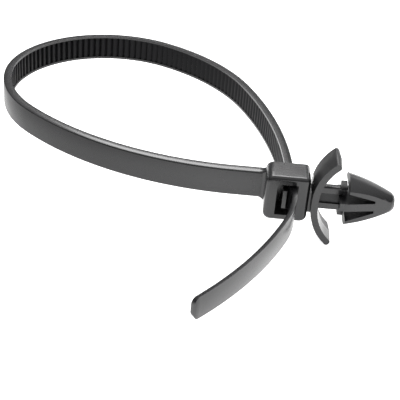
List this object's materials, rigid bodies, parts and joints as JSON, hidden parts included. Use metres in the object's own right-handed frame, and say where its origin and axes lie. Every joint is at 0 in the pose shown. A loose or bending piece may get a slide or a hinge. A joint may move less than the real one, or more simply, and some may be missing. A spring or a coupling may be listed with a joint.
{
  "type": "push mount cable tie",
  "caption": "Cable tie looped through its own locking head, with a slit arrowhead and spring wings on the head that snap into a panel hole.",
  "frame": {"origin": "on the arrow's axis, in the plane of the barbs' shoulders, which grip the far side of the panel", "axes": "+X out of the arrow's nose, the way it is pushed into the panel; +Z across the strap's width; -Y to the side where the tail leaves the head"},
  "size_m": [0.0679, 0.0839, 0.0148],
  "materials": {
    "moulded_nylon": "black moulded nylon with a soft gloss"
  },
  "bodies": {
    "root": {"cable_tie": "moulded_nylon"}
  },
  "joints": []
}
